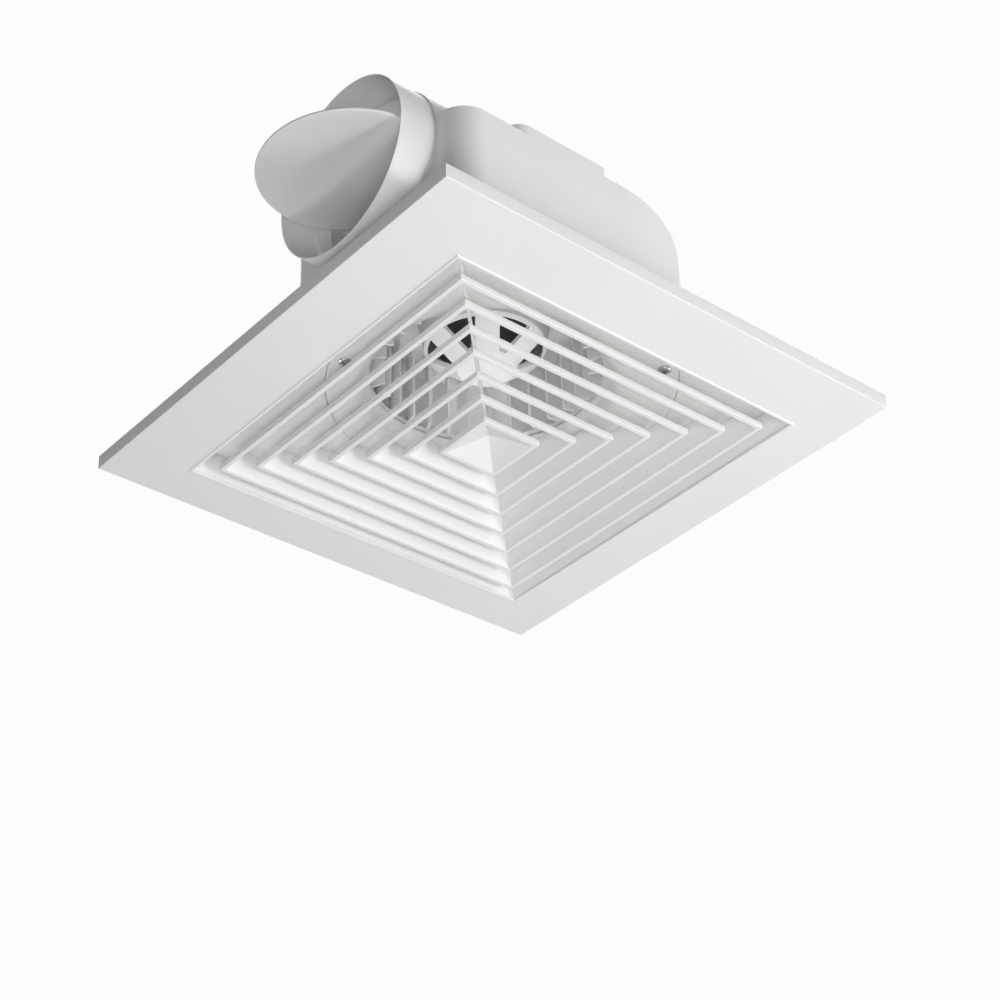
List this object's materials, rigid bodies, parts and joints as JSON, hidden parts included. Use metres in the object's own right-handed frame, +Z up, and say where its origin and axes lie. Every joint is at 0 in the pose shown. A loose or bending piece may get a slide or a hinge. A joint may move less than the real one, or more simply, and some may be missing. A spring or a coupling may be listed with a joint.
{
  "type": "ceiling exhaust fan",
  "caption": "White ceiling exhaust fan: square louvred panel under a scroll housing with a centrifugal wheel and a round side duct outlet with a swinging flap.",
  "frame": {"origin": "middle of the ceiling screw pattern, on the ceiling surface (top face of the flange)", "axes": "+Z up into the ceiling void, duct outlet towards -X, long flat housing side towards -Y"},
  "size_m": [0.3382, 0.3, 0.1266],
  "materials": {
    "panel_white": "satin injection-moulded ABS",
    "body_white": "satin moulded ABS",
    "wheel_white": "moulded polypropylene",
    "flap_white": "thin moulded plastic",
    "motor_black": "black paint over pressed steel",
    "lamination": "stacked silicon steel",
    "copper": "enamelled copper wire",
    "bronze": "sintered bronze",
    "steel": "zinc plated steel",
    "spring_steel": "tempered strip",
    "rubber_black": "moulded rubber",
    "fibre": "bonded fibre",
    "gland_grey": "moulded nylon",
    "terminal_cream": "moulded polyamide",
    "capacitor_black": "potted plastic case",
    "lead_sheath": "PVC sheath"
  },
  "bodies": {
    "housing": {"ceiling_flange": "body_white", "housing_shell": "body_white", "wiring_box": "body_white", "box_screws": "steel", "inlet_plate": "body_white", "inlet_screws": "steel", "outlet_spigot": "body_white", "motor_upper_shell": "motor_black", "motor_lower_shell": "motor_black", "tie_screws": "steel", "stator_core": "lamination", "stator_windings": "copper", "upper_bush": "bronze", "lower_bush": "bronze", "motor_grommets": "rubber_black", "motor_screws": "steel", "wiring_cover": "body_white", "cover_screws": "steel", "cable_gland": "gland_grey", "gland_nut": "gland_grey", "terminal_block": "terminal_cream", "terminal_screws": "steel", "capacitor": "capacitor_black", "capacitor_leads": "lead_sheath", "motor_lead": "lead_sheath", "lead_grommet": "rubber_black"},
    "wheel": {"impeller": "wheel_white", "motor_shaft": "steel", "rotor_core": "lamination", "thrust_washers": "fibre", "drive_pin": "steel"},
    "flap": {"damper_flap": "flap_white", "flap_pins": "steel"},
    "grille": {"grille_panel": "panel_white", "grille_clips": "spring_steel", "clip_screws": "steel"}
  },
  "joints": [
    {"name": "wheel_spin", "type": "hinge", "parent": "housing", "child": "wheel", "pos_m": [-0.02461, -0.02819, 0.03], "axis": [0, 0, 1], "continuous": true},
    {"name": "flap_swing", "type": "hinge", "parent": "housing", "child": "flap", "pos_m": [-0.1405, -0.0635, 0.06], "axis": [0, 1, 0], "range_deg": [-86.3, 8]},
    {"name": "grille_pull", "type": "slide", "parent": "housing", "child": "grille", "axis": [0, 0, -1], "range_m": [0, 0.06]}
  ]
}
